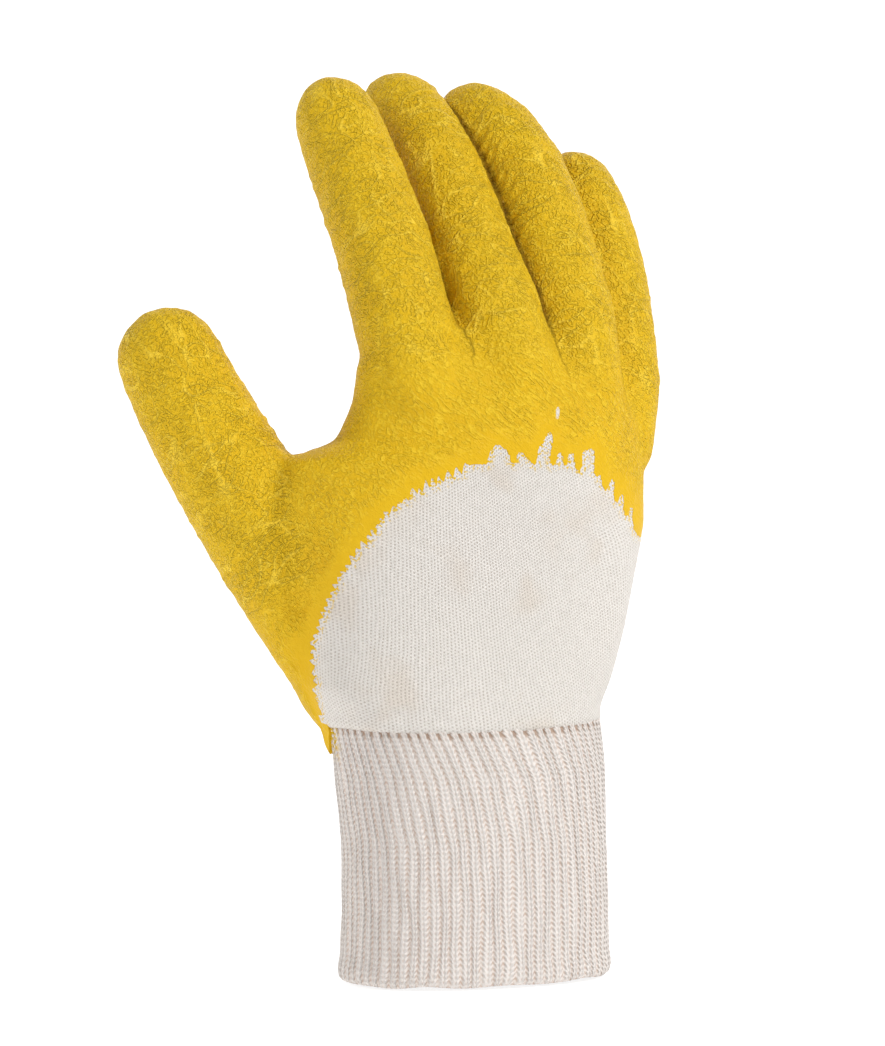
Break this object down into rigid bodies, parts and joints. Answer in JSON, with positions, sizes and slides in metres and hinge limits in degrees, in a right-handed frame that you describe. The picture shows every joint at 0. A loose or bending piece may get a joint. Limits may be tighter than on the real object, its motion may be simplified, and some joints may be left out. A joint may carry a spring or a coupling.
{
  "type": "latex coated work glove",
  "caption": "Right-hand work glove in its worn shape: latex over fingers, thumb and palm, a bare jersey window on the back of the hand and a ribbed knit cuff.",
  "frame": {"origin": "centre of the cuff's mouth, in the plane of its lower rim", "axes": "+Z from the cuff's mouth towards the fingertips, -Y out of the back of the hand, +Y out of the palm, -X towards the thumb"},
  "size_m": [0.1624, 0.0985, 0.2611],
  "materials": {
    "latex": "matte crinkled yellow latex bonded to a cotton jersey liner",
    "jersey": "bare off-white cotton jersey",
    "rib_knit": "off-white cotton rib knit with beige valleys"
  },
  "bodies": {
    "root": {"latex_coating": "latex", "jersey_back": "jersey", "rib_cuff": "rib_knit"}
  },
  "joints": []
}
